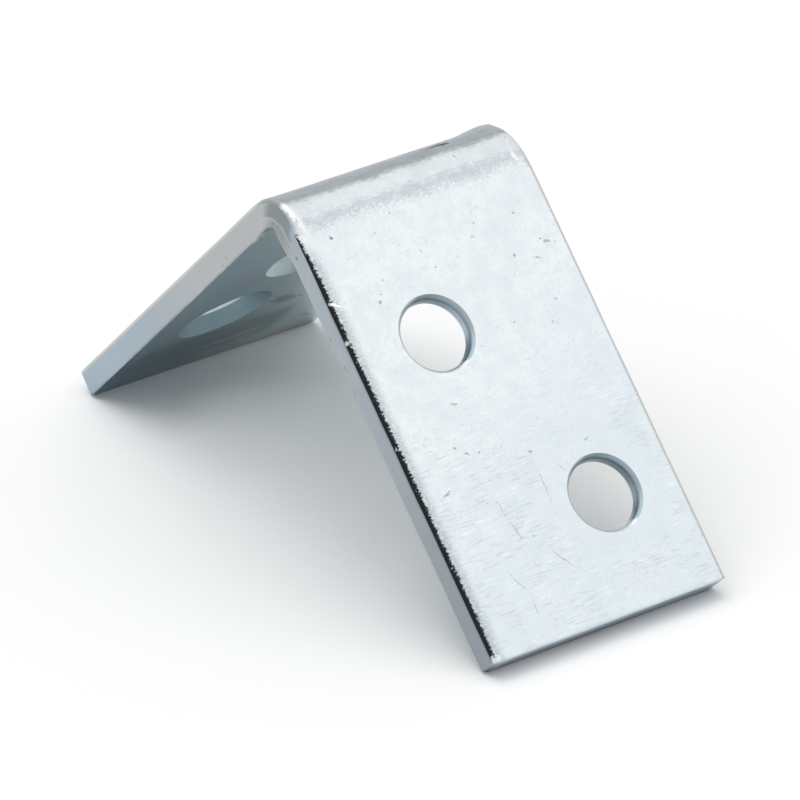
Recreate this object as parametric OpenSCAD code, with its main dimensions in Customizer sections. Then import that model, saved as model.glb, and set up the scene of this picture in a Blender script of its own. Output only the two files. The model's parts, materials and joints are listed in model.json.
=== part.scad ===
// Angle bracket: one strip of zinc-plated steel, folded square, with two
// staggered screw holes in each leg, countersunk on the inner faces.
// It stands as a tent on the ends of its legs. The fold runs along Y, the right
// leg goes down towards +X and the left leg towards -X. The origin is on the
// floor, midway between the ends of the legs and midway across the strip.

/* [Strip] */
// Width of the strip, along the fold
strip_w = 19; // [17:0.5:40]
// Thickness of the strip
strip_t = 2; // [1.6:0.1:3]
// Radius that the shear leaves on both long edges of the outer face
edge_roll = 0.3; // [0.1:0.05:0.6]

/* [Legs] */
// Length of the right leg, from the outer corner of the fold
right_leg = 35; // [30:0.5:80]
// Length of the left leg, from the outer corner of the fold
left_leg = 35; // [32:0.5:80]

/* [Fold] */
// Inner radius of the fold
fold_r = 1.3; // [0.8:0.1:4]
// How far the squeezed metal on the inside of the fold stands out at each side
fold_bulge = 0.25; // [0.1:0.05:0.4]
// How far that bulge reaches into the strip from the inside of the fold
fold_bulge_t = 0.8; // [0.6:0.1:1.2]
// How far the stretched metal on the outside of the fold draws in at each side
fold_draw = 0.35; // [0.1:0.05:0.5]
// How deep that drawn-in edge reaches into the strip from the outside
fold_draw_t = 1; // [0.6:0.1:1.2]

/* [Screw holes] */
// Diameter of the holes
hole_d = 5; // [3:0.1:6]
// Diameter of the countersinks on the inner faces
sink_d = 7.2; // [6.4:0.1:8]
// Full angle of the countersinks
sink_angle = 95; // [90:1:100]
// Width of the rounded rim of the punched holes on the outer faces
mouth_roll = 0.3; // [0.1:0.05:0.35]

/* [Right leg holes] */
// Upper hole, down from the outer corner of the fold
right_upper_down = 13; // [10:0.1:15]
// Upper hole, in from the near long edge
right_upper_in = 6.6; // [4:0.1:10]
// Lower hole, up from the end of the leg
right_lower_up = 8.2; // [5:0.1:9]
// Lower hole, in from the far long edge
right_lower_in = 5.8; // [4:0.1:10]

/* [Left leg holes] */
// Upper hole, down from the outer corner of the fold
left_upper_down = 14.1; // [10:0.1:15]
// Upper hole, in from the near long edge
left_upper_in = 9; // [4:0.1:10]
// Lower hole, up from the end of the leg
left_lower_up = 11.5; // [5:0.1:12]
// Lower hole, in from the near long edge
left_lower_in = 6; // [4:0.1:10]

/* [Hidden] */
$fn = 96;

// Cutters reach this far past the faces that they open
past = 1;
// Outer radius of the fold, which is also where the flat legs start
outer_r = fold_r + strip_t;
// The legs lean so that both ends touch the floor
lean = atan2(left_leg - strip_t, right_leg - strip_t);
// Height of the outer corner of the fold above the floor
corner_h = right_leg * sin(lean) + strip_t * cos(lean);
// Shift that puts the middle of the floor length over the origin
corner_x = (left_leg * sin(lean) - right_leg * cos(lean)) / 2;

// The bulge is the cap of a sphere centred on the axis of the fold
bulge_r = fold_r + fold_bulge_t;
bulge_centre_in = (bulge_r ^ 2 - fold_r ^ 2 - fold_bulge ^ 2) / (2 * fold_bulge);
bulge_sphere_r = sqrt(bulge_r ^ 2 + bulge_centre_in ^ 2);

// The drawn-in edge follows a flatter arc than the fold and runs out on the legs
draw_flatter = 5;
draw_r = outer_r + draw_flatter;
draw_centre = outer_r + draw_flatter * cos(45);
draw_slope = fold_draw / fold_draw_t;

// Depth of the countersinks
sink_h = (sink_d - hole_d) / 2 / tan(sink_angle / 2);
// The mouths are rounded by an arc that stops short of lying flush with the face
mouth_arc = 1.7;
mouth_arc_r = mouth_arc * mouth_roll;
mouth_arc_h = sqrt(mouth_arc_r ^ 2 - (mouth_arc_r - mouth_roll) ^ 2);

// Places of the holes: down from the outer corner, then across from the middle
right_upper = [right_upper_down, right_upper_in - strip_w / 2];
right_lower = [right_leg - right_lower_up, strip_w / 2 - right_lower_in];
left_upper = [left_upper_down, left_upper_in - strip_w / 2];
left_lower = [left_leg - left_lower_up, left_lower_in - strip_w / 2];

// Block right of and below a corner that lies this deep under both outer faces and
// is rounded with radius r
module rounded_block(depth, r, right_end, left_end) {
  translate([depth + r, -depth - r])
    circle(r = r);
  translate([depth + r, -left_end])
    square([right_end - depth - r, left_end - depth]);
  translate([depth, -left_end])
    square([right_end - depth, left_end - depth - r]);
}

// Side view of the folded strip: left leg hanging down, right leg out along +x
module side_view() {
  difference() {
    rounded_block(0, outer_r, right_leg, left_leg);
    rounded_block(strip_t, fold_r, right_leg + past, left_leg + past);
  }
}

// The folded strip, with the metal that the fold squeezes out of both its sides
module folded_strip() {
  intersection() {
    rotate([90, 0, 0])
      linear_extrude(height = strip_w + 2 * past, center = true)
        side_view();
    union() {
      translate([-past, -strip_w / 2, -left_leg - past])
        cube([right_leg + 2 * past, strip_w, left_leg + 2 * past]);
      for (side = [-1, 1])
        translate([outer_r, side * (strip_w / 2 - bulge_centre_in), -outer_r])
          sphere(r = bulge_sphere_r);
    }
  }
}

// Turns a quarter ring about z into one about the fold's direction, y
module about_fold(centre) {
  translate([centre, 0, -centre])
    rotate([0, -90, 0])
      rotate([90, 0, 0])
        children();
}

// Section of what is rounded off a long edge: outer face on x = 0, side face at +y
module roll_section() {
  difference() {
    translate([-past, strip_w / 2 - edge_roll])
      square([edge_roll + past, edge_roll + past]);
    translate([edge_roll, strip_w / 2 - edge_roll])
      circle(r = edge_roll);
  }
}

// Cutter that rounds a long edge of one leg and runs on into the fold
module leg_roll(leg) {
  translate([0, 0, -leg - past])
    linear_extrude(height = leg - outer_r + 2 * past)
      roll_section();
}

// Cutter that rounds one long edge of the outer face, over both legs and the fold
module rolled_edge() {
  leg_roll(left_leg);
  mirror([1, 0, 1])
    leg_roll(right_leg);
  about_fold(outer_r)
    rotate_extrude(angle = 90)
      translate([outer_r, 0])
        mirror([1, 0])
          roll_section();
}

// Cutter that draws in one outer edge of the fold
module drawn_in_edge() {
  about_fold(draw_centre)
    rotate_extrude(angle = 90)
      polygon([
        [draw_r - fold_draw_t, strip_w / 2],
        [draw_r + past, strip_w / 2 - fold_draw - past * draw_slope],
        [draw_r + past, strip_w / 2 + past],
        [draw_r - fold_draw_t, strip_w / 2 + past]
      ]);
}

// Half section of a hole: outer face on y = 0, thickness of the strip towards +y
module hole_section() {
  translate([0, -past])
    square([hole_d / 2, strip_t + 2 * past]);
  polygon([
    [0, strip_t - sink_h],
    [hole_d / 2, strip_t - sink_h],
    [sink_d / 2 + past * tan(sink_angle / 2), strip_t + past],
    [0, strip_t + past]
  ]);
  difference() {
    translate([0, -past])
      square([hole_d / 2 + mouth_roll, past + mouth_arc_h]);
    translate([hole_d / 2 + mouth_arc_r, mouth_arc_h])
      circle(r = mouth_arc_r);
  }
}

// Cutter for one screw hole
module screw_hole() {
  rotate_extrude()
    hole_section();
}

module bracket() {
  color("silver")
    translate([corner_x, 0, corner_h])
      rotate([0, lean, 0])
        difference() {
          folded_strip();
          for (side = [0, 1])
            mirror([0, side, 0]) {
              rolled_edge();
              drawn_in_edge();
            }
          for (place = [left_upper, left_lower])
            translate([0, place[1], -place[0]])
              rotate([0, 90, 0])
                screw_hole();
          for (place = [right_upper, right_lower])
            translate([place[0], place[1], 0])
              rotate([180, 0, 0])
                screw_hole();
        }
}

bracket();
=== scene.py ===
# Zinc-plated angle bracket, standing as a tent on the ends of its legs.
# It is modelled in millimetres, with the outer face of the left leg on x = 0 and that of
# the right leg on z = 0, and is then stood up and brought to metres.
import json
import math

import bpy
from mathutils import Matrix, Vector, noise


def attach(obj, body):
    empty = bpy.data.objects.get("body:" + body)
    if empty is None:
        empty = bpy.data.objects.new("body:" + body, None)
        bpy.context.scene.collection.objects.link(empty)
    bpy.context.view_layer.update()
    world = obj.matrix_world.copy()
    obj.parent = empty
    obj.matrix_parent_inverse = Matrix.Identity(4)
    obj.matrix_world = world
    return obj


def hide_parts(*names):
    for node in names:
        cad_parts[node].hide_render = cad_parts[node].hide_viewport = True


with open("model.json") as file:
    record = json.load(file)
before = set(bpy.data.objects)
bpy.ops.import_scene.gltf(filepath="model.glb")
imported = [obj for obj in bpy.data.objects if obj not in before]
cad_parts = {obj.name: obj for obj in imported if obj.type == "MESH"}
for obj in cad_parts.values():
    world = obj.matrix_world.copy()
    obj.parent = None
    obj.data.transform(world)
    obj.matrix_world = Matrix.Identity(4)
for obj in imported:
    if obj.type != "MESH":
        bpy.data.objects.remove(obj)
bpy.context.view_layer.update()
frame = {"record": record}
mm = 0.001

bracket = {
    "leg": 35.0,  # each leg, from the outer corner of the fold
    "width": 19.0,  # strip width, along the fold
    "thick": 2.0,
    "foldInner": 1.3,  # inner radius of the fold
    "edgeRoll": 0.3,  # the shear rolls both long edges of the outer face
    "edgeBreak": 0.07,  # every other edge is only broken by the plating
    "endRoll": 0.14,  # and less where the ends were cropped
    "endBreak": 0.03,
    "step": 0.22,  # spacing of the mesh, fine enough for dents and ripples
    "foldSteps": 22,
}

holes = {
    "radius": 2.5,
    "sinkRadius": 3.6,  # countersink on the inner face
    "sinkAngle": 95.0,
    "mouthRoll": 0.3,  # rounded rim on the outer face
    "mouthArc": 1.7,  # arc radius for each mm of rim
    "mouthSteps": 5,
    "sides": 96,
    "past": 1.0,  # the cutter reaches this far past both faces
}

cornerHeight = (bracket["leg"] + bracket["thick"]) * math.sin(math.radians(45))
outerRadius = bracket["foldInner"] + bracket["thick"]


def deselectAll():
    if bpy.context.mode != "OBJECT":
        bpy.ops.object.mode_set(mode="OBJECT")
    bpy.ops.object.select_all(action="DESELECT")


def makeActive(obj):
    deselectAll()
    obj.select_set(True)
    bpy.context.view_layer.objects.active = obj


def pick(obj, kind, test):
    # selects the vertices, edges or polygons of obj that pass the test, in edit mode
    modes = {"vertices": "VERT", "edges": "EDGE", "polygons": "FACE"}
    bpy.ops.object.mode_set(mode="EDIT")
    bpy.ops.mesh.select_mode(type=modes[kind])
    bpy.ops.mesh.select_all(action="DESELECT")
    bpy.ops.object.mode_set(mode="OBJECT")
    for part in getattr(obj.data, kind):
        part.select = test(part)
    bpy.ops.object.mode_set(mode="EDIT")


def edgeLength(obj, edge):
    a, b = (obj.data.vertices[i].co for i in edge.vertices)
    return (a - b).length


def sweepStrip(p):
    # the strip's section, drawn at the end of the left leg and swept up it, round the
    # fold and out along the right leg
    bpy.ops.mesh.primitive_plane_add(size=1, location=(p["thick"] / 2, 0, -p["leg"]))
    strip = bpy.context.object
    strip.name = "bracket_plated"
    strip.scale = (p["thick"], p["width"], 1)
    bpy.ops.object.transform_apply(location=True, rotation=True, scale=True)

    pick(strip, "vertices", lambda v: v.co.x < p["thick"] / 2)
    bpy.ops.mesh.bevel(offset=p["edgeRoll"], segments=5, affect="VERTICES", clamp_overlap=False)
    pick(strip, "vertices", lambda v: v.co.x > p["thick"] - p["edgeBreak"])
    bpy.ops.mesh.bevel(offset=p["edgeBreak"], segments=2, affect="VERTICES", clamp_overlap=False)
    for side in (p["width"], p["thick"]):
        pick(strip, "edges", lambda e: 0.7 * side < edgeLength(strip, e) <= side)
        bpy.ops.mesh.subdivide(number_cuts=round(side / p["step"]) - 1)

    flat = p["leg"] - outerRadius
    pick(strip, "polygons", lambda f: True)
    bpy.ops.mesh.extrude_region_move(TRANSFORM_OT_translate={"value": (0, 0, flat)})
    bpy.ops.mesh.spin(steps=p["foldSteps"], angle=math.radians(-90), axis=(0, 1, 0),
                      center=(outerRadius, 0, -outerRadius))
    bpy.ops.mesh.extrude_region_move(TRANSFORM_OT_translate={"value": (flat, 0, 0)})
    pick(strip, "edges", lambda e: edgeLength(strip, e) > flat * 0.99)
    bpy.ops.mesh.subdivide(number_cuts=round(flat / p["step"]) - 1)
    # the cropped ends: rolled on the outer face, crisp elsewhere
    end = p["leg"] - p["edgeBreak"] / 2
    atEnd = lambda v: v.co.x > end or v.co.z < -end
    onOuter = lambda v: v.co.x < p["edgeBreak"] or v.co.z > -p["edgeBreak"]
    for test, offset in ((lambda v: onOuter(v), p["endRoll"]), (lambda v: not onOuter(v), p["endBreak"])):
        vertices = strip.data.vertices
        pick(strip, "edges", lambda e: all(atEnd(vertices[i]) and test(vertices[i]) for i in e.vertices))
        bpy.ops.mesh.bevel(offset=offset, segments=2, affect="EDGES", clamp_overlap=False)
    bpy.ops.mesh.select_all(action="SELECT")
    bpy.ops.mesh.normals_make_consistent(inside=False)
    bpy.ops.object.mode_set(mode="OBJECT")
    return strip


def push(strip, name, direction, distance, weight):
    # moves the surface by distance times the weight, 0 to 1, that each place has
    group = strip.vertex_groups.new(name=name)
    for vertex in strip.data.vertices:
        amount = weight(vertex.co)
        if amount > 0:
            group.add([vertex.index], min(amount, 1), "REPLACE")
    makeActive(strip)
    move = strip.modifiers.new(name, "DISPLACE")
    move.direction = direction
    move.strength = distance
    move.mid_level = 0
    move.vertex_group = name
    bpy.ops.object.modifier_apply(modifier=move.name)
    strip.vertex_groups.remove(strip.vertex_groups[name])


fold = {
    "bulge": 0.25,  # metal squeezed out of both sides at the inside of the fold
    "bulgeDepth": 1.0,
    "drawIn": {-1: 0.35, 1: 0.2},  # metal drawn in at the outside, near and far side
    "drawInDepth": 1.0,
    "drawFlatter": 5.0,  # the drawn-in edge is this much flatter than the fold
    "dip": 0.1,  # the outside sinks towards the near side
    "dipLength": 3.4,  # each way from the ridge
    "corner": 0.22,  # the far corner stands proud on the left
    "thinned": 0.15,  # the inner edge is squeezed thinner where the left leg starts
    "ripple": 0.03,
    "rippleGrain": 1.6,
}

wear = {
    "tipCorner": 0.12,  # how far the corners of both tips are rounded back
    "tipCornerWide": 0.5,
    "sideWave": 0.035,  # the shear's cut isn't quite straight
    "sideWaveGrain": 3.5,
    "faceWave": 0.02,
    "faceWaveGrain": 7.0,
}


def fade(value, start, end):
    # 0 at start, 1 at end, and eased between them
    part = min(max((value - start) / (end - start), 0), 1)
    return part * part * (3 - 2 * part)


def depthAt(co):
    # depth under the outer surface
    if co.x > outerRadius:
        return -co.z
    if co.z < -outerRadius:
        return co.x
    return outerRadius - math.hypot(co.x - outerRadius, co.z + outerRadius)


def ridgeDistance(co):
    # distance from the ridge along the outer surface
    down = outerRadius * math.radians(45)
    if co.x > outerRadius:
        return down + co.x - outerRadius
    if co.z < -outerRadius:
        return down - outerRadius - co.z
    return outerRadius * abs(math.atan2(outerRadius - co.x, outerRadius + co.z) - math.radians(45))


def alongOutside(co):
    # distance from the ridge along the outer surface, negative towards the left leg
    return math.copysign(ridgeDistance(co), co.x + co.z)


def shapeFold(strip, p, f):
    half = p["width"] / 2
    flatter = outerRadius + f["drawFlatter"] * math.cos(math.radians(45))
    drawnFrom = outerRadius + f["drawFlatter"] - f["drawInDepth"]

    def bulge(co):
        fromAxis = math.hypot(co.x - outerRadius, co.z + outerRadius)
        return fade(fromAxis, p["foldInner"] + f["bulgeDepth"], p["foldInner"])

    def drawIn(co):
        if co.x > flatter or co.z < -flatter:
            return 0
        drawn = (math.hypot(co.x - flatter, co.z + flatter) - drawnFrom) / f["drawInDepth"]
        return drawn * fade(alongOutside(co), -6.5, -1.0)

    def dip(co):
        if depthAt(co) > p["edgeRoll"]:
            return 0
        across = (1 - (abs(co.y) / half) ** 6) * fade(co.y, half * 0.5, -half)
        return fade(ridgeDistance(co), f["dipLength"], 0) * across

    def ripple(co):
        across = 1 - (abs(co.y) / half) ** 6
        if depthAt(co) > p["edgeRoll"]:
            return 0
        return fade(ridgeDistance(co), f["dipLength"], 0) * across * (0.5 + 0.5 * noise.noise(co / f["rippleGrain"]))

    def corner(co):
        along = alongOutside(co)
        return (fade(along, -0.6, -1.8) * fade(along, -5.5, -2.8) * fade(co.y, half - 3.4, half - 1.0)
                * fade(co.y, half + 0.9, half - 1.0) * fade(depthAt(co), p["thick"] * 0.8, 0))

    def thinned(co):
        along = alongOutside(co)
        return (fade(along, -8, -4) * fade(along, 2, 0) * fade(depthAt(co), p["thick"] * 0.6, p["thick"])
                * fade(abs(co.y), half - 0.4, half - 0.05))

    for side in (-1, 1):
        def ramp(co, reach):
            return min(max((co.y * side - half + reach) / reach, 0), 1)
        push(strip, "bulge", "Y", side * f["bulge"], lambda co: bulge(co) * ramp(co, 1.2))
        push(strip, "draw in", "Y", -side * f["drawIn"][side], lambda co: drawIn(co) * ramp(co, 3.5))
    push(strip, "dip", "NORMAL", -f["dip"], dip)
    push(strip, "ripple", "NORMAL", -f["ripple"], ripple)
    push(strip, "corner", "X", -f["corner"], corner)
    push(strip, "thinned", "NORMAL", -f["thinned"], thinned)


def wearStrip(strip, p, w):
    # corners knocked round, and sides and faces that aren't quite straight
    half = p["width"] / 2
    wide = w["tipCornerWide"]

    def tipCorner(co, along):
        return fade(abs(co.y), half - wide, half) * fade(along, p["leg"] - wide, p["leg"])

    def wave(co, grain):
        return min(max(0.5 + noise.noise(co / grain), 0), 1)

    push(strip, "right tip", "X", -w["tipCorner"], lambda co: tipCorner(co, co.x))
    push(strip, "left tip", "Z", w["tipCorner"], lambda co: tipCorner(co, -co.z))
    for side in (-1, 1):
        push(strip, "sides", "Y", -side * w["sideWave"],
             lambda co: fade(co.y * side, half - 0.7, half) * wave(co, w["sideWaveGrain"]))
    push(strip, "outer faces", "NORMAL", -w["faceWave"],
         lambda co: (depthAt(co) < p["edgeRoll"]) * wave(co, w["faceWaveGrain"]))


def holeProfile(h, thick):
    # height over the outer face and radius of the cutter, from outside to inside
    arc = h["mouthArc"] * h["mouthRoll"]
    mouthDepth = math.sqrt(arc ** 2 - (arc - h["mouthRoll"]) ** 2)
    slope = math.tan(math.radians(h["sinkAngle"] / 2))
    profile = [(-h["past"], h["radius"] + h["mouthRoll"])]
    for i in range(h["mouthSteps"] + 1):
        depth = mouthDepth * i / h["mouthSteps"]
        profile.append((depth, h["radius"] + arc - math.sqrt(arc ** 2 - (mouthDepth - depth) ** 2)))
    profile.append((thick - (h["sinkRadius"] - h["radius"]) / slope, h["radius"]))
    profile.append((thick + h["past"], h["sinkRadius"] + h["past"] * slope))
    return profile


def holeCutter(h, thick, outside, inwards):
    profile = holeProfile(h, thick)
    deselectAll()
    bpy.ops.mesh.primitive_circle_add(vertices=h["sides"], radius=profile[0][1],
                                      fill_type="NGON", location=(0, 0, profile[0][0]))
    cutter = bpy.context.object
    bpy.ops.object.transform_apply(location=True)
    bpy.ops.object.mode_set(mode="EDIT")
    bpy.ops.mesh.select_all(action="SELECT")
    for (lastDepth, lastRadius), (depth, radius) in zip(profile, profile[1:]):
        bpy.ops.mesh.extrude_region_move(TRANSFORM_OT_translate={"value": (0, 0, depth - lastDepth)})
        bpy.ops.transform.resize(value=(radius / lastRadius, radius / lastRadius, 1),
                                 center_override=(0, 0, depth))
    bpy.ops.mesh.select_all(action="SELECT")
    bpy.ops.mesh.normals_make_consistent(inside=False)
    bpy.ops.object.mode_set(mode="OBJECT")
    cutter.rotation_euler = inwards.to_track_quat("Z", "Y").to_euler()
    cutter.location = outside
    bpy.ops.object.transform_apply(location=True, rotation=True)
    return cutter


def drillHoles(strip, h, p):
    # the record's bores say where the holes are and which way they open
    toStrip = standing().inverted()
    cutters = []
    for mount in frame["record"]["mounts"]:
        if mount["kind"] == "bore":
            inwards = (toStrip.to_3x3() @ Vector(mount["axis"])).normalized()
            place = toStrip @ Vector(mount["pos_m"])
            cutters.append(holeCutter(h, p["thick"], place - inwards * place.dot(inwards), inwards))
    makeActive(cutters[0])
    for cutter in cutters:
        cutter.select_set(True)
    bpy.ops.object.join()
    makeActive(strip)
    cut = strip.modifiers.new("screw holes", "BOOLEAN")
    cut.operation = "DIFFERENCE"
    cut.solver = "EXACT"
    cut.object = cutters[0]
    bpy.ops.object.modifier_apply(modifier=cut.name)
    bpy.data.objects.remove(cutters[0])


def standing():
    # both legs lean 45 degrees, and their ends touch the floor
    lean = Matrix.Rotation(math.radians(45), 4, "Y")
    return Matrix.Translation((0, 0, cornerHeight * mm)) @ lean @ Matrix.Scale(mm, 4)


def standUp(strip):
    strip.matrix_world = standing()
    makeActive(strip)
    bpy.ops.object.transform_apply(location=True, rotation=True, scale=True)


def hexColour(text):
    # sRGB hex to linear
    values = [int(text[i:i + 2], 16) / 255 for i in (1, 3, 5)]
    return tuple(v / 12.92 if v <= 0.04045 else ((v + 0.055) / 1.055) ** 2.4 for v in values) + (1.0,)


def addNode(tree, kind, settings=None, links=None):
    node = tree.nodes.new("ShaderNode" + kind)
    for name, value in (settings or {}).items():
        if isinstance(name, str) and hasattr(node, name):
            setattr(node, name, value)
        else:
            node.inputs[name].default_value = value
    for socket, source in (links or {}).items():
        tree.links.new(source, node.inputs[socket])
    return node


def newMaterial(name):
    material = bpy.data.materials.new(name)
    material.use_nodes = True
    material.node_tree.nodes.clear()
    return material, material.node_tree


def stripPlace(tree):
    # millimetres in the strip's own frame, the same as it is modelled in
    toStrip = standing().inverted()
    place = addNode(tree, "TexCoord")
    return addNode(tree, "Mapping", {"Location": toStrip.translation, "Rotation": toStrip.to_euler(),
                                     "Scale": toStrip.to_scale()}, {"Vector": place.outputs["Object"]})


def colourBands(tree, value, stops):
    # a colour for each place: stops are (value, hex colour), lowest first
    low, high = stops[0][0], stops[-1][0]
    share = addNode(tree, "MapRange", {"From Min": low, "From Max": high}, {"Value": value})
    ramp = addNode(tree, "ValToRGB", links={"Fac": share.outputs[0]})
    elements = ramp.color_ramp.elements
    while len(elements) < len(stops):
        elements.new(0.5)
    for element, (place, colour) in zip(elements, stops):
        element.position = (place - low) / (high - low)
        element.color = hexColour(colour)
    return ramp.outputs["Color"]


def patches(tree, place, size, low, high, detail=2.0):
    # 0 to 1 by noise: size is how large its patches are, in mm, and between low and high
    # lies what is half covered
    size = Vector(size if isinstance(size, tuple) else (size, size, size))
    scaled = addNode(tree, "Mapping", {"Scale": (1 / size.x, 1 / size.y, 1 / size.z)}, {"Vector": place})
    clouds = addNode(tree, "TexNoise", {"Scale": 1.0, "Detail": detail}, {"Vector": scaled.outputs[0]})
    share = addNode(tree, "MapRange", {"interpolation_type": "SMOOTHSTEP", "From Min": low, "From Max": high},
                    {"Value": clouds.outputs["Fac"]})
    return share.outputs[0]


def between(tree, value, start, end):
    # 0 at start, 1 at end
    share = addNode(tree, "MapRange", {"interpolation_type": "SMOOTHSTEP", "From Min": start, "From Max": end},
                    {"Value": value})
    return share.outputs[0]


def both(tree, *masks):
    covered = masks[0]
    for mask in masks[1:]:
        covered = addNode(tree, "Math", {"operation": "MULTIPLY"}, {0: covered, 1: mask}).outputs[0]
    return covered


def tint(tree, colour, over, mask, most=1.0):
    # paints a hex colour over another where the mask is 1, and at most so much of it
    share = addNode(tree, "Math", {"operation": "MULTIPLY", 1: most}, {0: mask})
    mixed = addNode(tree, "Mix", {"data_type": "RGBA", "B": hexColour(over)},
                    {"Factor": share.outputs[0], "A": colour})
    return mixed.outputs["Result"]


def band(tree, value, start, full, last, end):
    # 0 at start, 1 from full to last, 0 again at end
    return both(tree, between(tree, value, start, full), between(tree, value, end, last))


def sumOf(tree, first, second, times=1.0):
    # first plus so many times second
    return addNode(tree, "Math", {"operation": "MULTIPLY_ADD", 1: times}, {0: second, 2: first}).outputs[0]


def wornAndLitPlaces(tree, colour, place, ragged, worn):
    # specks, scratches, stains and a few painted highlights: middle, half sizes and turn in the strip's frame, in
    # millimetres and degrees, and then how much of which colour
    wander = addNode(tree, "TexNoise", {"Scale": 1.1, "Detail": 3.0}, {"Vector": place})
    shift = addNode(tree, "VectorMath", {"operation": "MULTIPLY_ADD", 1: (0.5, 0.5, 0.5), 2: (-0.25, -0.25, -0.25)},
                    {0: wander.outputs["Color"]})
    wandering = addNode(tree, "VectorMath", {"operation": "ADD"}, {0: place, 1: shift.outputs[0]}).outputs[0]
    for middle, sizes, turn, over, most in worn:
        local = addNode(tree, "Mapping", {"vector_type": "TEXTURE", "Location": middle, "Scale": sizes,
                                          "Rotation": [math.radians(angle) for angle in turn]}, {"Vector": wandering})
        away = addNode(tree, "VectorMath", {"operation": "LENGTH"}, {0: local.outputs[0]})
        uneven = sumOf(tree, away.outputs["Value"], ragged, 0.7)
        colour = tint(tree, colour, over, between(tree, uneven, 1.35, 0.85), most)
    return colour


def finish(tree, colour, height, bumpHeight, roughness):
    bump = addNode(tree, "Bump", {"Strength": 1.0, "Distance": bumpHeight * mm}, {"Height": height})
    shader = addNode(tree, "BsdfPrincipled", {"Metallic": 1.0, "Roughness": roughness},
                     {"Base Color": colour, "Normal": bump.outputs[0]})
    addNode(tree, "OutputMaterial", links={"Surface": shader.outputs["BSDF"]})


rolledFace = {
    "bright": "#D8DDDF",
    "dull": "#CDD4D8",
    "sparkle": "#E9F0F0",
    "tip": "#C6D0D6",
    "pitAndShade": "#6E7A7F",
    "mark": "#4E585B",
    "darkReflectionAndMark": "#262B2D",  # painted dark reflection along the near rolled edge of the right leg, and a dark mark on the ridge
    "nicked": "#C9D0D3",
    "farEdge": "#A5A6A3",
    "foldShade": "#8E9799",  # painted shade on the fold's grey ridge and on its drawn-in rolls at both ends
    # painted highlights on the fold, and a bright nick on the near edge
    "brightWearAndHighlight": "#EFEDEA",
    "warm": "#B9B8B4",
    "mouth": "#8C9FA8",
    "roughness": 0.40,
    "mottle": 0.42,
    "cloud": 5.0,
    "pitSize": 0.28,
    "hair": (0.14, 0.3, 0.14),
    "streak": (0.12, 1.5, 0.12),
    "rubbedStreak": (0.15, 1.6, 0.15),
    "streaksFrom": 15.5,  # the rolls' marks show towards the end of the leg
    "quietHole": (26.8, 3.7, 3.6, 5.2),  # the punch pressed them flat round the lower hole
    "bumpHeight": 0.004,
}

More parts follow.
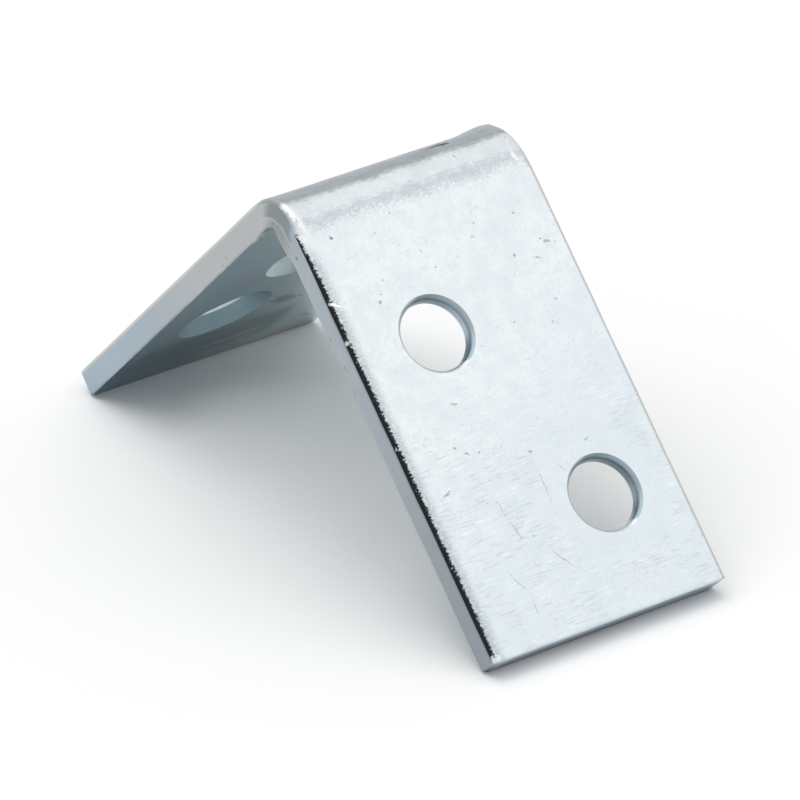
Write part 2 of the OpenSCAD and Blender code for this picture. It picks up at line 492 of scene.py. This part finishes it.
# on the right leg and the ridge
faceWearAndHighlights = [
    ((4.60, -7.16, 0), (0.18, 0.09, 0.3), (0, 0, 25), "mark", 0.75),
    ((5.21, -3.93, 0), (0.10, 0.08, 0.3), (0, 0, 0), "mark", 0.6),
    ((9.70, -5.86, 0), (0.12, 0.20, 0.3), (0, 0, 20), "pitAndShade", 0.6),
    ((9.35, -5.55, 0), (0.08, 0.12, 0.3), (0, 0, 0), "pitAndShade", 0.6),
    ((8.67, -0.84, 0), (0.10, 0.10, 0.3), (0, 0, 0), "mark", 0.6),
    ((6.66, 3.31, 0), (0.09, 0.09, 0.3), (0, 0, 0), "pitAndShade", 0.7),
    ((9.61, 5.13, 0), (0.09, 0.12, 0.3), (0, 0, 0), "pitAndShade", 0.7),
    ((9.43, 7.93, 0), (0.16, 0.30, 0.3), (0, 0, -30), "mark", 0.5),
    ((9.15, 7.55, 0), (0.08, 0.14, 0.3), (0, 0, 10), "mark", 0.5),
    ((10.29, 6.74, 0), (0.07, 0.35, 0.3), (0, 0, -15), "mark", 0.5),
    ((4.25, -2.27, 0), (0.08, 0.08, 0.3), (0, 0, 0), "pitAndShade", 0.7),
    ((6.89, 6.48, 0), (0.10, 0.10, 0.3), (0, 0, 0), "mark", 0.6),
    ((14.87, 5.61, 0), (0.12, 0.09, 0.3), (0, 0, 0), "pitAndShade", 0.6),
    ((13.93, 2.90, 0), (0.07, 0.16, 0.3), (0, 0, 30), "pitAndShade", 0.6),
    ((8.33, -4.93, 0), (0.08, 0.10, 0.3), (0, 0, 0), "pitAndShade", 0.6),
    ((25.0, -0.32, 0), (1.15, 0.05, 0.3), (0, 0, 2), "pitAndShade", 0.42),
    ((25.4, -4.14, 0), (1.0, 0.05, 0.3), (0, 0, 8), "pitAndShade", 0.36),
    ((27.3, -3.76, 0), (0.95, 0.06, 0.3), (0, 0, 17), "pitAndShade", 0.40),
    ((29.9, -1.44, 0), (0.95, 0.06, 0.3), (0, 0, 32), "pitAndShade", 0.44),
    ((30.5, -5.20, 0), (1.0, 0.06, 0.3), (0, 0, 27), "pitAndShade", 0.42),
    ((32.3, -4.85, 0), (0.95, 0.05, 0.3), (0, 0, -5), "pitAndShade", 0.34),
    ((24.2, 1.50, 0), (0.5, 0.04, 0.3), (0, 0, 28), "pitAndShade", 0.45),
    ((0.50, 4.00, -1.56), (0.16, 1.05, 0.16), (0, 0, 0), "mark", 1.0),
    ((0.50, 4.62, -1.50), (0.30, 0.50, 0.30), (0, 0, 0), "darkReflectionAndMark", 0.9),
    ((1.86, 4.38, -0.34), (0.30, 0.06, 0.30), (0, 0, 18), "pitAndShade", 0.85),
    # painted highlight at the far end of the fold
    ((3.20, 8.45, -0.02), (0.40, 0.26, 0.4), (0, 0, 20), "brightWearAndHighlight", 0.6),
    ((3.95, 9.20, -0.05), (0.60, 0.22, 0.4), (0, 0, 8), "warm", 0.6),
    ((1.10, 8.95, -0.90), (0.16, 0.16, 0.16), (0, 0, 0), "foldShade", 0.7),
    ((20.6, -5.33, 0), (0.16, 0.10, 0.3), (0, 0, 50), "pitAndShade", 0.6),
    ((21.2, -4.62, 0), (0.26, 0.08, 0.3), (0, 0, 60), "pitAndShade", 0.6),
    ((21.4, -3.80, 0), (0.12, 0.12, 0.3), (0, 0, 0), "mark", 0.5),
    ((23.4, -7.40, 0), (0.40, 0.10, 0.3), (0, 0, 115), "pitAndShade", 0.7),
    ((22.5, -0.25, 0), (0.12, 0.18, 0.3), (0, 0, 0), "pitAndShade", 0.6),
    ((23.0, 4.10, 0), (0.08, 0.24, 0.3), (0, 0, 0), "mark", 0.5),
    ((7.65, 2.75, 0), (0.20, 0.12, 0.3), (0, 0, 40), "pitAndShade", 0.5),
    ((7.29, -1.38, 0), (0.30, 0.06, 0.3), (0, 0, 20), "pitAndShade", 0.4),
    ((13.4, 6.59, 0), (0.12, 0.10, 0.3), (0, 0, 0), "mark", 0.5),
    ((17.9, -3.98, 0), (0.10, 0.30, 0.3), (0, 0, -20), "pitAndShade", 0.5),
    # painted highlight on the near corner of the right tip
    ((34.7, -9.2, -0.02), (0.32, 0.36, 0.3), (0, 0, 0), "sparkle", 0.6),
    ((8.98, -9.1, -0.02), (0.09, 0.55, 0.3), (0, 0, -35), "brightWearAndHighlight", 1.0),
    ((11.6, -9.42, -0.05), (0.22, 0.14, 0.3), (0, 0, 0), "nicked", 0.9),
    ((12.0, -9.30, -0.05), (0.10, 0.12, 0.3), (0, 0, 0), "nicked", 0.7),
    ((19.4, -9.42, -0.05), (0.16, 0.10, 0.3), (0, 0, 0), "nicked", 0.6),
    ((28.1, -9.40, -0.05), (0.12, 0.10, 0.3), (0, 0, 0), "nicked", 0.7),
]


def zincRolledFace(f, worn, p):
    # cold-rolled strip, barrel plated with bright zinc: almost white, with a fine mottled grain, pits and marks of the
    # rolls across the strip, and with painted reflections, shade and highlights over the fold
    material, tree = newMaterial("bright_zinc_on_rolled_face")
    place = stripPlace(tree).outputs[0]
    axes = addNode(tree, "SeparateXYZ", links={"Vector": place})
    x, y, z = (axes.outputs[name] for name in "XYZ")
    half = p["width"] / 2
    grain = patches(tree, place, f["mottle"], 0.3, 0.7, 4.0)
    fine = patches(tree, place, 0.17, 0.3, 0.7, 3.0)
    hairs = patches(tree, place, f["hair"], 0.3, 0.7, 3.0)
    clouds = patches(tree, place, f["cloud"], 0.3, 0.7, 3.0)

    cover = sumOf(tree, both(tree, grain, clouds), patches(tree, place, 1.4, 0.3, 0.9))
    face = addNode(tree, "Mix", {"data_type": "RGBA", "A": hexColour(f["dull"]), "B": hexColour(f["bright"])},
                   {"Factor": cover}).outputs["Result"]
    face = tint(tree, face, f["tip"], between(tree, sumOf(tree, x, y, 0.5), 12, 28), 0.55)
    # painted sparkle: fine glints of light over the face
    face = tint(tree, face, f["sparkle"], patches(tree, place, 0.17, 0.66, 0.74), 0.6)

    # specks and pits lie in loose groups
    groups = patches(tree, place, 2.6, 0.46, 0.62)
    face = tint(tree, face, f["pitAndShade"], both(tree, patches(tree, place, f["pitSize"], 0.64, 0.74, 3.0), groups), 0.42)
    face = tint(tree, face, f["mark"], both(tree, patches(tree, place, 0.16, 0.72, 0.78), groups), 0.5)
    smudges = both(tree, patches(tree, place, (0.32, 0.16, 0.3), 0.60, 0.74, 2.0), patches(tree, place, 1.7, 0.42, 0.62))
    face = tint(tree, face, f["pitAndShade"], smudges, 0.28)

    # the rolls' marks run across the strip
    holeX, holeY, reach, wide = f["quietHole"]
    fromHole = addNode(tree, "VectorMath", {"operation": "DISTANCE", 1: (holeX, holeY, 0)}, {0: place})
    streaks = both(tree, patches(tree, place, f["streak"], 0.50, 0.72, 3.0), patches(tree, place, 2.2, 0.36, 0.60),
                   between(tree, x, f["streaksFrom"], f["streaksFrom"] + 9),
                   between(tree, fromHole.outputs["Value"], reach, wide))
    face = tint(tree, face, f["pitAndShade"], streaks, 0.25)
    brightWearAndHighlight = both(tree, patches(tree, place, f["rubbedStreak"], 0.52, 0.70, 3.0), patches(tree, place, 1.8, 0.38, 0.58),
                  between(tree, x, f["streaksFrom"] - 4, f["streaksFrom"] + 5),
                  between(tree, fromHole.outputs["Value"], reach, wide))
    face = tint(tree, face, f["sparkle"], brightWearAndHighlight, 0.34)

    # bands along the fold, painted as reflections: grey over the ridge and bright beside it. x + z is 0 on the ridge
    # and -3.3 to 3.3 over the fold
    overFold = sumOf(tree, x, z)
    smeared = patches(tree, place, (0.12, 0.5, 0.12), 0.3, 0.7, 4.0)
    ragged = sumOf(tree, sumOf(tree, overFold, smeared, 0.5), patches(tree, place, 1.6, 0.2, 0.8), 0.4)
    reflectionBands = colourBands(tree, ragged, [(-3.2, "#FFFFFF"), (-2.2, "#CDCDCC"), (-1.2, "#CDCFD0"), (0.75, "#C2C5C7"),
                                       (1.55, "#FDFCFC"), (2.9, "#FCFBFB"), (3.55, "#DFE1E4"), (3.9, "#E8E9EB"),
                                       (4.5, "#FFFFFF")])
    face = addNode(tree, "Mix", {"data_type": "RGBA", "blend_type": "MULTIPLY", "Factor": 1.0},
                   {"A": face, "B": reflectionBands}).outputs["Result"]
    mottledRidgeShade = both(tree, patches(tree, place, (0.6, 1.4, 0.6), 0.40, 0.70, 3.0),
                     band(tree, ragged, -3.4, -2.4, 0.4, 1.3))
    face = tint(tree, face, f["foldShade"], mottledRidgeShade, 0.45)
    face = tint(tree, face, f["warm"], band(tree, overFold, -4.2, -2.9, -2.0, -1.2), 0.4)
    # painted glints in flecks along the fold's lower edge
    glintFlecks = both(tree, patches(tree, place, (0.24, 0.13, 0.24), 0.54, 0.70), band(tree, ragged, 3.5, 3.9, 4.3, 4.9))
    face = tint(tree, face, f["brightWearAndHighlight"], glintFlecks, 0.6)

    # at both ends the fold drew the edge in: painted shade on the roll, and a painted highlight beside it
    inside = addNode(tree, "Math", {"operation": "ADD", 1: half}, {0: y}).outputs[0]
    fromDrawn = sumOf(tree, inside, overFold, -0.085)
    roll = both(tree, band(tree, overFold, -2.8, -1.4, -0.2, 0.5), between(tree, fromDrawn, 0.60, 0.40))
    face = tint(tree, face, f["foldShade"], roll, 0.75)
    lit = both(tree, band(tree, overFold, 0.2, 0.8, 2.7, 3.3), between(tree, sumOf(tree, fromDrawn, fine, 0.25), 0.58, 0.34))
    face = tint(tree, face, f["foldShade"], lit, 0.5)
    leftRoll = both(tree, between(tree, overFold, -2.6, -4.0), between(tree, inside, 0.55, 0.30))
    face = tint(tree, face, f["warm"], leftRoll, 0.6)
    shine = both(tree, band(tree, overFold, 0.1, 0.9, 3.2, 4.2),
                 band(tree, sumOf(tree, fromDrawn, fine, 0.22), 0.26, 0.40, 0.52, 0.95))
    face = tint(tree, face, f["brightWearAndHighlight"], shine, 0.62)

    # the near roll of the right leg, painted dark as a reflection, ragged where it runs out into the face
    rollWidth = addNode(tree, "MapRange", {"From Min": outerRadius + 0.1, "From Max": 7.0, "To Min": -0.04,
                                           "To Max": 0.19}, {"Value": x}).outputs[0]
    uneven = sumOf(tree, sumOf(tree, sumOf(tree, inside, rollWidth, -1.0), hairs, -0.17), grain, -0.02)
    nearRoll = both(tree, between(tree, uneven, 0.07, -0.08),
                    band(tree, x, outerRadius, outerRadius + 0.5, p["leg"] - 0.6, p["leg"] - 0.3))
    hazy = both(tree, between(tree, inside, 1.25, 0.25), patches(tree, place, f["hair"], 0.1, 0.8, 3.0),
                between(tree, x, outerRadius + 0.5, outerRadius + 3))
    face = tint(tree, face, f["pitAndShade"], hazy, 0.72)
    face = tint(tree, face, f["darkReflectionAndMark"], both(tree, nearRoll, patches(tree, place, 0.15, 0.16, 0.34)))
    fromFar = addNode(tree, "Math", {"operation": "SUBTRACT", 0: half}, {1: y}).outputs[0]
    farRoll = both(tree, band(tree, sumOf(tree, fromFar, fine, 0.08), 0.04, 0.16, 0.26, 0.42),
                   between(tree, x, outerRadius, outerRadius + 1))
    face = tint(tree, face, f["farEdge"], farRoll, 0.6)

    # rims that face down the leg, at the holes' mouths and at the tip, are in shade
    direction = addNode(tree, "TexCoord")
    downLeg = addNode(tree, "VectorMath", {"operation": "DOT_PRODUCT", 1: standing().to_3x3().col[0].normalized()},
                      {0: direction.outputs["Normal"]})
    shaded = both(tree, between(tree, downLeg.outputs["Value"], 0.2, 0.8), between(tree, x, outerRadius, outerRadius + 1))
    face = tint(tree, face, f["mouth"], shaded, 0.85)
    # painted shade on the holes' mouth rolls that turn towards the near side, darker on part of them in the pit colour
    across = addNode(tree, "Math", {"operation": "ABSOLUTE"}, {0: y}).outputs[0]
    turned = (standing().to_3x3() @ Vector((0.35, -1, 0))).normalized()
    facing = addNode(tree, "VectorMath", {"operation": "DOT_PRODUCT", 1: turned}, {0: direction.outputs["Normal"]})
    mouths = both(tree, between(tree, facing.outputs["Value"], 0.04, 0.20), between(tree, across, half - 0.5, half - 0.7),
                  band(tree, x, outerRadius + 1, outerRadius + 2, p["leg"] - 1, p["leg"] - 0.6))
    face = tint(tree, face, f["mouth"], mouths, 0.85)
    outerRim = both(tree, mouths, between(tree, facing.outputs["Value"], 0.65, 0.35))
    face = tint(tree, face, f["pitAndShade"], outerRim, 0.45)

    colours = [(middle, sizes, turn, f[name], most) for middle, sizes, turn, name, most in worn]
    face = wornAndLitPlaces(tree, face, place, fine, colours)
    finish(tree, face, sumOf(tree, grain, streaks, -2.0), f["bumpHeight"], f["roughness"])
    return material


shearedEdge = {
    "colour": "#A3AEB8",
    "cloudy": "#AAB3B9",
    "tip": "#A8B8C4",
    "warm": "#BABBBA",
    # darker where the fold drew the side in, and also the painted shade towards the right tip
    "drawnInAndShade": "#868E90",
    "crease": "#CDD2D4",
    "lip": "#919595",
    "line": "#757A7C",
    "lightLine": "#C6C5C1",
    "speck": "#50585A",
    # the cropped end, by its depth under the outer face, painted darker towards its inner edge as reflected shade of
    # the floor's contact shadow
    "endFaceShade": [(0.2, "#C8DAE6"), (0.8, "#A8B9C6"), (1.2, "#A6AFB7"), (1.6, "#989BA0"), (1.95, "#7A7C80")],
    "endBlue": "#93ADBD",
    "roughness": 0.42,
    "blotch": 2.5,
}

# on the near side
sideWear = [
    ((4.88, -9.5, -1.26), (0.11, 0.3, 0.11), (0, 0, 0), "speck", 0.8),
    ((1.15, -9.5, -25.94), (0.10, 0.3, 0.10), (0, 0, 0), "speck", 0.6),
    ((1.41, -9.5, -25.48), (0.08, 0.3, 0.08), (0, 0, 0), "speck", 0.5),
    ((1.49, -9.5, -9.75), (0.09, 0.3, 0.09), (0, 0, 0), "speck", 0.6),
    ((1.70, -9.5, -10.5), (0.07, 0.3, 0.16), (0, 0, 0), "speck", 0.4),
    ((10.76, -9.5, -1.66), (0.30, 0.3, 0.09), (0, 4, 0), "speck", 0.45),
    ((12.97, -9.5, -1.64), (0.45, 0.3, 0.08), (0, -3, 0), "speck", 0.4),
    ((14.6, -9.5, -1.72), (0.25, 0.3, 0.07), (0, 0, 0), "speck", 0.45),
    ((2.04, -9.7, -2.06), (0.12, 0.4, 0.10), (0, 45, 0), "speck", 0.5),
    ((2.6, -9.7, -1.7), (0.40, 0.4, 0.05), (0, 52, 0), "line", 0.4),
]


def depthPlace(tree, axes):
    # depth under the outer surface, on the legs and round the fold alike
    down = addNode(tree, "Math", {"operation": "MULTIPLY", 1: -1.0}, {0: axes.outputs["Z"]})
    corner = addNode(tree, "CombineXYZ", links={"X": axes.outputs["X"], "Y": down.outputs[0]})
    inside = addNode(tree, "VectorMath", {"operation": "MINIMUM", 1: (outerRadius, outerRadius, 0)},
                     {0: corner.outputs[0]})
    fromAxis = addNode(tree, "VectorMath", {"operation": "DISTANCE", 1: (outerRadius, outerRadius, 0)},
                       {0: inside.outputs[0]})
    return addNode(tree, "Math", {"operation": "SUBTRACT", 0: outerRadius}, {1: fromAxis.outputs["Value"]}).outputs[0]


def zincShearedEdge(f, worn, p):
    # cut by the shear and plated: smooth and blue-grey, torn a little towards the inner
    # face, darker where the fold drew it in
    material, tree = newMaterial("zinc_on_sheared_edge")
    place = stripPlace(tree).outputs[0]
    axes = addNode(tree, "SeparateXYZ", links={"Vector": place})
    x, y, z = (axes.outputs[name] for name in "XYZ")
    depth = depthPlace(tree, axes)
    overFold = sumOf(tree, x, z)
    fine = patches(tree, place, 0.2, 0.3, 0.7, 3.0)
    grain = patches(tree, place, 0.3, 0.3, 0.7, 3.0)

    side = addNode(tree, "Mix", {"data_type": "RGBA", "A": hexColour(f["colour"]), "B": hexColour(f["cloudy"])},
                   {"Factor": patches(tree, place, f["blotch"], 0.3, 0.7, 3.0)}).outputs["Result"]
    side = tint(tree, side, f["tip"], between(tree, z, -11, -32), 0.8)
    side = tint(tree, side, f["warm"], band(tree, z, -26, -10, -3, -1), 0.7)

    # the fold: drawn in outside, squeezed out inside, with a crease between
    wavy = sumOf(tree, overFold, grain, 0.2)
    inFold = band(tree, wavy, -2.1, -0.7, 2.3, 3.0)
    side = tint(tree, side, f["drawnInAndShade"], both(tree, inFold, between(tree, depth, 1.35, 1.1)), 0.9)
    side = tint(tree, side, f["lip"], both(tree, band(tree, wavy, -1.8, 0.2, 1.6, 3.4), between(tree, depth, 1.25, 1.4)), 0.8)
    crease = both(tree, band(tree, overFold, -3.4, -1.8, 2.6, 3.6), band(tree, depth, 1.14, 1.20, 1.24, 1.31),
                  patches(tree, place, 0.6, 0.25, 0.55))
    side = tint(tree, side, f["crease"], crease, 0.22)

    # thin lines along the inner edge: dark on the left leg, light on the right
    brokenUp = patches(tree, place, 0.9, 0.30, 0.55)
    side = tint(tree, side, f["line"], both(tree, between(tree, depth, 1.8, 1.95), brokenUp, between(tree, z, -3, -9)), 0.42)
    side = tint(tree, side, f["lightLine"], both(tree, between(tree, depth, 1.8, 1.9), band(tree, x, 2, 3, 9, 16)), 0.35)
    # painted shade just under the near roll of the right leg, and down the right leg's side towards its tip
    shade = both(tree, between(tree, sumOf(tree, depth, fine, -0.1), 0.56, 0.26), between(tree, x, 4, 11))
    side = tint(tree, side, f["line"], shade, 0.5)
    side = tint(tree, side, f["drawnInAndShade"], between(tree, x, 14, 30), 0.35)
    tears = both(tree, patches(tree, place, 0.22, 0.66, 0.72, 3.0), between(tree, depth, 0.9, 1.6),
                 patches(tree, place, 2.0, 0.45, 0.6))
    side = tint(tree, side, f["speck"], tears, 0.5)
    specks = both(tree, patches(tree, place, 0.18, 0.72, 0.76), patches(tree, place, 1.8, 0.5, 0.62))
    side = tint(tree, side, f["speck"], specks, 0.6)

    # the cropped end of the right leg is bluer, and painted darker towards its inner edge as reflected shade of the
    # floor's contact shadow
    away = addNode(tree, "Math", {"operation": "ABSOLUTE"}, {0: y}).outputs[0]
    atEnd = both(tree, between(tree, x, p["leg"] - 0.4, p["leg"] - 0.2),
                 between(tree, away, p["width"] / 2 - 0.02, p["width"] / 2 - 0.08))
    cropped = colourBands(tree, sumOf(tree, depth, grain, 0.1), f["endFaceShade"])
    side = addNode(tree, "Mix", {"data_type": "RGBA"}, {"Factor": atEnd, "A": side, "B": cropped}).outputs["Result"]
    side = tint(tree, side, f["endBlue"], both(tree, atEnd, between(tree, y, 1, 6)), 0.4)

    colours = [(middle, sizes, turn, f[name], most) for middle, sizes, turn, name, most in worn]
    side = wornAndLitPlaces(tree, side, place, fine, colours)
    finish(tree, side, grain, 0.004, f["roughness"])
    return material


innerFace = {
    "colour": "#8CA7B3",
    "green": "#88A6A8",
    "violet": "#9099B3",
    "pale": "#B1C3C8",
    "deep": "#5C8799",
    "shadow": "#5E6E71",
    "stain": "#506064",
    "warm": "#AAA69C",
    "edge": "#94745E",
    "speck": "#3F4A4C",
    "scratch": "#C2CDCF",
    "roughness": 0.26,
}

# on the left leg, round its lower countersink
innerWear = [
    ((2, 1.9, -24.6), (0.5, 1.75, 0.80), (-40, 0, 0), "stain", 0.9),
    ((2, 3.55, -25.2), (0.3, 0.55, 0.14), (-40, 0, 0), "speck", 0.8),
    ((2, 2.25, -23.7), (0.3, 0.30, 0.10), (-40, 0, 0), "speck", 0.6),
    ((2, 7.15, -31.6), (0.3, 0.40, 0.16), (-40, 0, 0), "speck", 0.7),
    ((2, 6.5, -32.2), (0.3, 0.15, 0.15), (0, 0, 0), "speck", 0.5),
    ((2, 1.4, -22.0), (0.3, 1.0, 0.07), (32, 0, 0), "scratch", 0.6),
    ((2, 0.9, -31.1), (0.5, 3.5, 0.45), (3, 0, 0), "warm", 0.9),
    ((2, -7.7, -14.5), (0.8, 1.3, 1.2), (0, 0, 0), "green", 0.5),
    ((2, -5.2, -15.8), (0.8, 2.2, 2.4), (0, 0, 0), "violet", 0.7),
    ((2, -8.6, -27.5), (0.8, 0.8, 2.0), (0, 0, 0), "violet", 0.6),
]


def zincInnerFace(f, worn, p):
    # the hollow of the fold gets less current in the bath: duller, with blue, green and
    # brownish clouds of passivation
    material, tree = newMaterial("zinc_on_inner_face")
    place = stripPlace(tree).outputs[0]
    axes = addNode(tree, "SeparateXYZ", links={"Vector": place})
    x, y, z = (axes.outputs[name] for name in "XYZ")
    fine = patches(tree, place, 0.25, 0.3, 0.7, 3.0)
    face = addNode(tree, "Mix", {"data_type": "RGBA", "A": hexColour(f["colour"]), "B": hexColour(f["green"])},
                   {"Factor": patches(tree, place, 4.0, 0.35, 0.65, 3.0)}).outputs["Result"]
    face = tint(tree, face, f["violet"], patches(tree, place, 3.0, 0.55, 0.75, 3.0), 0.5)
    # painted shade: darker towards the lower end of the left leg, reflecting the shadowed floor, and a painted shadow
    # band below the lower countersink
    face = tint(tree, face, f["deep"], both(tree, between(tree, z, -24, -33), between(tree, y, 2, -3)), 0.9)
    face = tint(tree, face, f["pale"], both(tree, between(tree, y, 0.5, 5), between(tree, z, -12, -18)), 0.9)
    face = tint(tree, face, f["shadow"], both(tree, band(tree, z, -34, -31, -28.6, -26.4), between(tree, y, 5.4, 3.4)), 0.85)
    stain = both(tree, patches(tree, place, (5, 3, 1.6), 0.45, 0.7, 3.0), between(tree, y, -4, 3))
    face = tint(tree, face, f["warm"], stain, 0.35)
    specks = both(tree, patches(tree, place, 0.25, 0.66, 0.74, 3.0), patches(tree, place, 2.5, 0.45, 0.6))
    face = tint(tree, face, f["speck"], specks, 0.5)
    uneven = sumOf(tree, z, fine, 0.15)
    face = tint(tree, face, f["edge"], between(tree, uneven, -p["leg"] + 0.55, -p["leg"] + 0.25), 0.7)
    colours = [(middle, sizes, turn, f[name], most) for middle, sizes, turn, name, most in worn]
    face = wornAndLitPlaces(tree, face, place, fine, colours)
    finish(tree, face, patches(tree, place, 0.5, 0.3, 0.7, 4.0), 0.004, f["roughness"])
    return material


punchedHole = {
    "bore": "#AEBEC6",
    "rim": "#C9D2D7",  # painted highlight where the bore meets the cone
    "cone": "#96ADB6",
    "upperConeLit": "#ABB8BB",  # painted lighter in the upper holes, which reflect more light
    "rings": "#7E9098",
    "roughness": 0.33,
    "ringStep": 0.07,
}


def zincPunchedHole(f, p):
    # punched and then countersunk: a highlight is painted on the rim between bore and cone, and the cone has faint
    # turning rings
    material, tree = newMaterial("zinc_in_punched_holes")
    place = stripPlace(tree).outputs[0]
    axes = addNode(tree, "SeparateXYZ", links={"Vector": place})
    depth = depthPlace(tree, axes)
    fine = patches(tree, place, 0.18, 0.3, 0.7, 3.0)
    wall = addNode(tree, "Mix", {"data_type": "RGBA", "A": hexColour(f["bore"]), "B": hexColour(f["rim"])},
                   {"Factor": between(tree, sumOf(tree, depth, fine, 0.05), 0.88, 0.95)}).outputs["Result"]
    inCone = between(tree, depth, 1.0, 1.05)
    wall = tint(tree, wall, f["cone"], inCone)
    upper = between(tree, axes.outputs["Z"], -19, -17)
    wall = tint(tree, wall, f["upperConeLit"], both(tree, inCone, upper))
    ringPlace = addNode(tree, "CombineXYZ", links={"X": depth})
    rings = both(tree, patches(tree, ringPlace.outputs[0], f["ringStep"], 0.45, 0.6), inCone)
    wall = tint(tree, wall, f["rings"], both(tree, rings, patches(tree, place, 1.5, 0.35, 0.65)), 0.22)
    wall = tint(tree, wall, f["rings"], patches(tree, place, 0.3, 0.55, 0.75, 3.0), 0.3)
    finish(tree, wall, sumOf(tree, fine, rings, 1.0), 0.003, f["roughness"])
    return material


def plate(strip, p, h):
    # rolled faces first, then what the shear, the punch and the fold made different
    strip.data.materials.clear()
    for material in (zincRolledFace(rolledFace, faceWearAndHighlights, p), zincShearedEdge(shearedEdge, sideWear, p),
                     zincInnerFace(innerFace, innerWear, p), zincPunchedHole(punchedHole, p)):
        strip.data.materials.append(material)
    toStrip = standing().inverted()
    bores = [toStrip @ Vector(mount["pos_m"]) for mount in frame["record"]["mounts"] if mount["kind"] == "bore"]
    mouthDepth = holeProfile(h, p["thick"])[-3][0]

    def inBore(f):
        if not mouthDepth - 0.02 < depthAt(f.center) < p["thick"] - 0.02:
            return False
        for bore in bores:
            away = f.center - bore
            away[0 if bore.x < p["thick"] else 2] = 0
            if away.length < h["sinkRadius"] + 0.1:
                return True
        return False

    def onSide(f):
        return (abs(f.normal.y) > 0.8 and depthAt(f.center) > p["edgeRoll"] - 0.02
                or f.normal.x > 0.9 or f.normal.z < -0.9)

    def onInner(f):
        return depthAt(f.center) > p["thick"] - 0.03 and abs(f.normal.y) < 0.5

    for slot, test in ((1, onSide), (2, onInner), (3, inBore)):
        pick(strip, "polygons", test)
        strip.active_material_index = slot
        bpy.ops.object.material_slot_assign()
    bpy.ops.object.mode_set(mode="OBJECT")


studio = {
    "floorSize": 3000.0,
    "floorColour": "#FAFAFA",
    "floorGlow": 0.02,
    "horizon": 0.34,
    "zenith": 0.84,
    "keyPower": 4.5,
    "keySize": 1050.0,
    "keyDistance": 1000.0,
    "keyFrom": (-0.22, -0.20, 0.95),
    "sidePower": 0.6,
    "sideSize": 700.0,
    "sideDistance": 900.0,
    "sideFrom": (0.48, 0.50, 0.72),
}


def seenRays(tree):
    # 1 for what the camera sees, straight on or in metal and glass, else 0
    rays = addNode(tree, "LightPath")
    seen = addNode(tree, "Math", {"operation": "ADD", "use_clamp": True},
                   {0: rays.outputs["Is Camera Ray"], 1: rays.outputs["Is Glossy Ray"]})
    seen = addNode(tree, "Math", {"operation": "ADD", "use_clamp": True},
                   {0: seen.outputs[0], 1: rays.outputs["Is Transmission Ray"]})
    return seen.outputs[0]


def buildStudio(s):
    deselectAll()
    bpy.ops.mesh.primitive_plane_add(size=s["floorSize"] * mm)
    floor = bpy.context.object
    floor.name = "floor"
    material, tree = newMaterial("matt_white_paper")
    paper = addNode(tree, "BsdfDiffuse", {"Color": hexColour(s["floorColour"])})
    strength = addNode(tree, "MapRange", {"To Max": s["floorGlow"]}, {"Value": seenRays(tree)})
    glow = addNode(tree, "Emission", {"Color": (1, 1, 1, 1)}, {"Strength": strength.outputs[0]})
    both = addNode(tree, "AddShader", links={0: paper.outputs[0], 1: glow.outputs[0]})
    addNode(tree, "OutputMaterial", links={"Surface": both.outputs[0]})
    floor.data.materials.append(material)

    world = bpy.data.worlds.new("studio")
    bpy.context.scene.world = world
    world.use_nodes = True
    tree = world.node_tree
    tree.nodes.clear()
    upwards = addNode(tree, "TexCoord")
    height = addNode(tree, "SeparateXYZ", links={"Vector": upwards.outputs["Generated"]})
    ambient = addNode(tree, "MapRange", {"To Min": s["horizon"], "To Max": s["zenith"]}, {"Value": height.outputs["Z"]})
    strength = addNode(tree, "MapRange", links={"Value": seenRays(tree), "To Min": ambient.outputs[0]})
    light = addNode(tree, "Background", {"Color": (1, 1, 1, 1)}, {"Strength": strength.outputs[0]})
    addNode(tree, "OutputWorld", links={"Surface": light.outputs[0]})

    for name in ("key", "side"):
        direction = Vector(s[name + "From"]).normalized()
        bpy.ops.object.light_add(type="AREA", location=direction * s[name + "Distance"] * mm)
        lamp = bpy.context.object
        lamp.name = name + "_softbox"
        lamp.data.size = s[name + "Size"] * mm
        lamp.data.energy = s[name + "Power"]
        lamp.rotation_euler = direction.to_track_quat("Z", "Y").to_euler()


camera = {
    "lens": 314.2,  # at a 36 mm sensor
    "distance": 468.7,
    "azimuth": 54.92,  # from -Y towards +X
    "elevation": 28.66,
    "roll": -0.49,
    "aim": (3.23, -1.75, 8.98),
}


def placeCamera(c):
    azimuth, elevation = math.radians(c["azimuth"]), math.radians(c["elevation"])
    back = Vector((math.sin(azimuth) * math.cos(elevation), -math.cos(azimuth) * math.cos(elevation),
                   math.sin(elevation)))
    data = bpy.data.cameras.new("camera")
    data.lens = c["lens"]
    data.sensor_width = 36
    view = bpy.data.objects.new("camera", data)
    bpy.context.scene.collection.objects.link(view)
    turn = back.to_track_quat("Z", "Y").to_matrix().to_4x4() @ Matrix.Rotation(math.radians(c["roll"]), 4, "Z")
    view.matrix_world = Matrix.Translation(Vector(c["aim"]) * mm + back * c["distance"] * mm) @ turn
    bpy.context.scene.camera = view


bpy.context.scene.view_settings.view_transform = "Standard"
deselectAll()
import time
startTime = time.time()
print("sweeping the strip")
strip = sweepStrip(bracket)
print("shaping the fold", time.time() - startTime)
shapeFold(strip, bracket, fold)
wearStrip(strip, bracket, wear)
print("drilling the holes", time.time() - startTime)
drillHoles(strip, holes, bracket)
print("plating", time.time() - startTime)
plate(strip, bracket, holes)
standUp(strip)
bpy.ops.object.shade_smooth_by_angle(angle=math.radians(28))
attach(strip, "root")
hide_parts("bracket")
print("lighting the studio")
buildStudio(studio)
placeCamera(camera)
